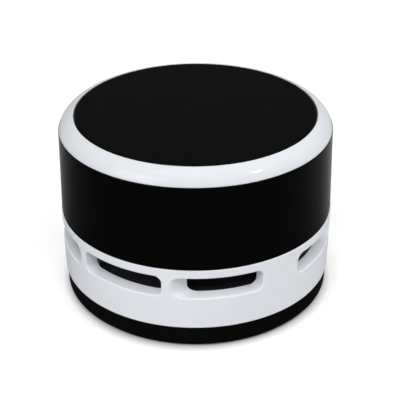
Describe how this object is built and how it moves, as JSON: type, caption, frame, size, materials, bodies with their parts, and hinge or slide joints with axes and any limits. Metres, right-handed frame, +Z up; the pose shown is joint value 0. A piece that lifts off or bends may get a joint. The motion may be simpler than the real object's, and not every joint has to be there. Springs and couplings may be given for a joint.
{
  "type": "desktop mini vacuum cleaner",
  "caption": "Round battery desk vacuum: dust cup with suction mouth and brushes, slotted vent ring, gloss band, twist-off lid.",
  "frame": {"origin": "middle of the resting rim, on the desk", "axes": "+Z up, -Y to the front, the power switch is at +Y, the suction mouth runs along X"},
  "size_m": [0.086, 0.086, 0.059],
  "materials": {
    "black_gloss": "polished black shell",
    "white_satin": "satin white moulding",
    "white_gloss": "gloss white moulding",
    "black_satin": "satin black plate",
    "black_cup": "satin black moulding",
    "inner_plastic": "plain dark moulding",
    "fan_plastic": "plain dark grey moulding",
    "filter_plastic": "plain grey moulding",
    "filter_mesh": "fine woven mesh",
    "can_steel": "zinc-plated drawn can",
    "magnet": "ferrite",
    "end_cap": "natural nylon",
    "bronze": "sintered bronze",
    "spring_brass": "pressed phosphor bronze",
    "cell_sleeve": "plain sleeve over the cell",
    "contact_nickel": "nickel-plated pressing",
    "knob": "satin white moulding",
    "red_wire": "insulated wire",
    "black_wire": "insulated wire",
    "screw_steel": "zinc-plated",
    "shaft_steel": "ground steel",
    "core_steel": "laminated iron",
    "copper": "enamelled copper",
    "copper_segments": "bare copper",
    "foam": "soft foam",
    "bristle": "nylon bristles"
  },
  "bodies": {
    "housing": {"main_housing": "black_gloss", "vent_ring": "white_satin", "motor_deck": "inner_plastic", "fan_shroud": "inner_plastic", "motor_can": "can_steel", "motor_magnets": "magnet", "motor_end_cap": "end_cap", "front_bush": "bronze", "rear_bush": "bronze", "motor_brushes": "spring_brass", "motor_terminals": "spring_brass", "battery_tray": "inner_plastic", "front_cell": "cell_sleeve", "rear_cell": "cell_sleeve", "front_contact": "contact_nickel", "rear_contact": "contact_nickel", "bridge_contact": "contact_nickel", "switch_case": "contact_nickel", "switch_pins": "spring_brass", "battery_wire": "red_wire", "motor_wire": "red_wire", "return_wire": "black_wire", "case_screws": "screw_steel", "tray_screws": "screw_steel", "motor_screws": "screw_steel"},
    "rotor": {"impeller": "fan_plastic", "motor_shaft": "shaft_steel", "armature_core": "core_steel", "armature_coils": "copper", "commutator": "copper_segments"},
    "lid": {"lid_ring": "white_gloss", "top_plate": "black_satin", "battery_pads": "foam"},
    "dust_cup": {"base_cup": "black_cup", "front_brush": "bristle", "rear_brush": "bristle", "filter_frame": "filter_plastic", "filter_screen": "filter_mesh"},
    "switch": {"switch_knob": "knob"}
  },
  "joints": [
    {"name": "rotor_spin", "type": "hinge", "parent": "housing", "child": "rotor", "pos_m": [0, 0, 0.028], "axis": [0, 0, 1], "continuous": true},
    {"name": "lid_twist", "type": "hinge", "parent": "housing", "child": "lid", "pos_m": [0, 0, 0.0546], "axis": [0, 0, 1], "range_deg": [0, 20]},
    {"name": "cup_twist", "type": "hinge", "parent": "housing", "child": "dust_cup", "pos_m": [0, 0, 0.0076], "axis": [0, 0, 1], "range_deg": [0, 25]},
    {"name": "switch_slide", "type": "slide", "parent": "housing", "child": "switch", "axis": [1, 0, 0], "range_m": [0, 0.003]}
  ]
}
